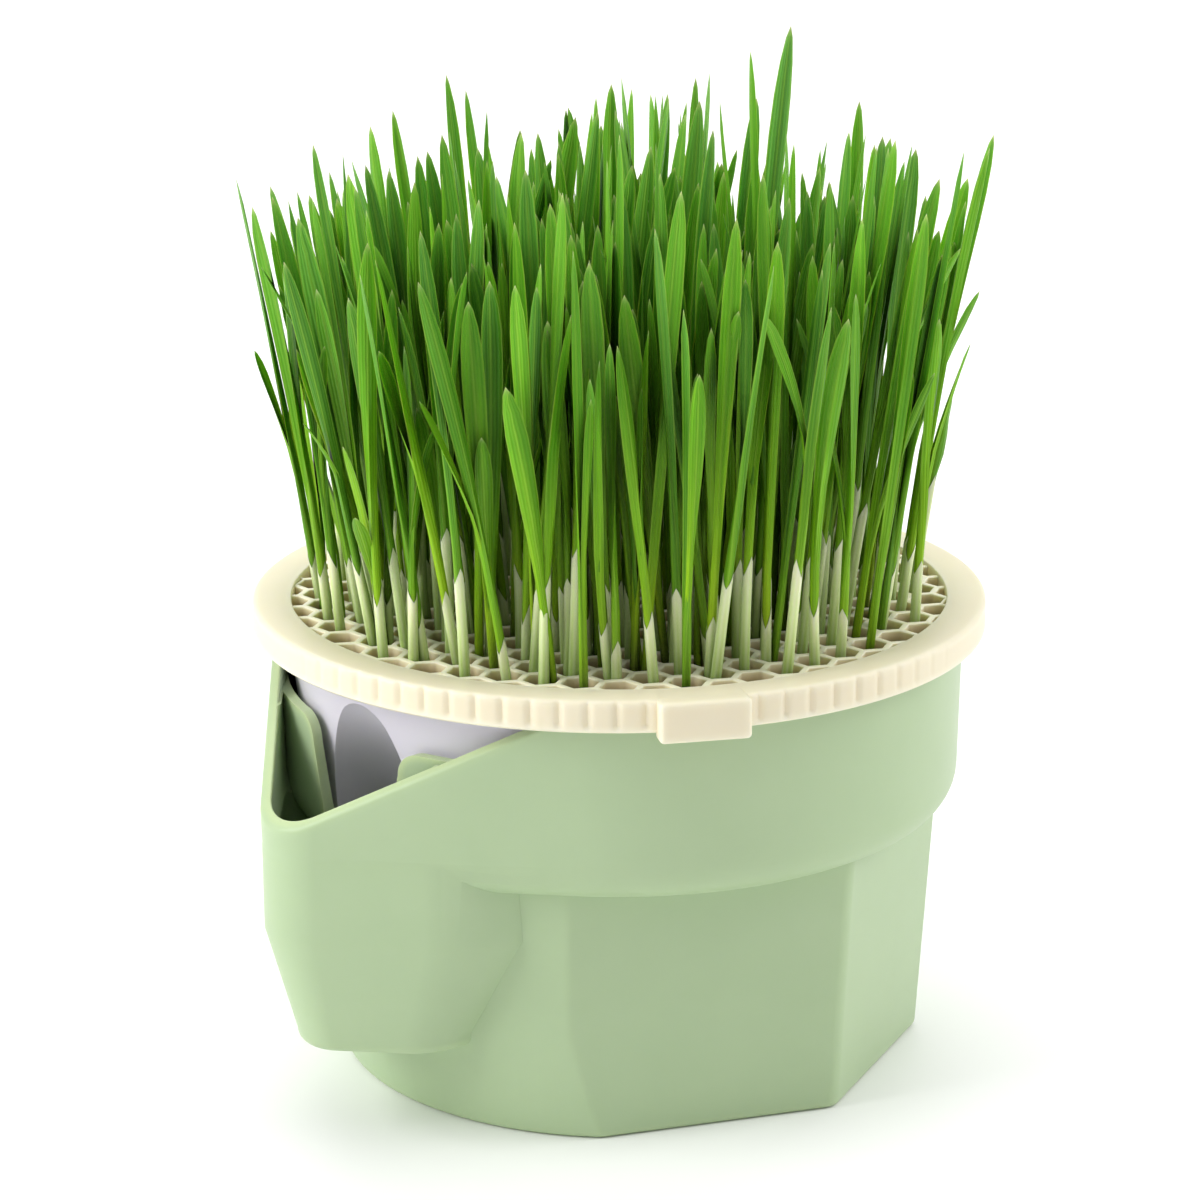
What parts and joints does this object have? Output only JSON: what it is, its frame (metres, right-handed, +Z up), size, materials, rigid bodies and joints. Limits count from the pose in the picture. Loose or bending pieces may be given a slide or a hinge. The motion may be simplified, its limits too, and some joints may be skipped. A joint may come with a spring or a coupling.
{
  "type": "wheatgrass tray",
  "caption": "Round self-watering pot with a pouring pouch, a hanging cup and a honeycomb lid, with young wheatgrass growing up through the lid.",
  "frame": {"origin": "middle of the pot's flat foot, on the surface it stands on", "axes": "+Z up along the pot's axis; the pouring pouch points along -Y"},
  "size_m": [0.1505, 0.1643, 0.2125],
  "materials": {
    "sage_plastic": "satin moulded plastic, sage green",
    "lavender_plastic": "satin moulded plastic, pale lavender grey",
    "cream_plastic": "satin moulded plastic, cream",
    "soil": "damp crumbly growing medium",
    "wheat_leaf": "young wheat leaves, pale at the stem"
  },
  "bodies": {
    "root": {"pot": "sage_plastic", "pouch": "sage_plastic", "inner_cup": "lavender_plastic", "growing_bed": "soil", "honeycomb_lid": "cream_plastic", "wheatgrass": "wheat_leaf"}
  },
  "joints": []
}
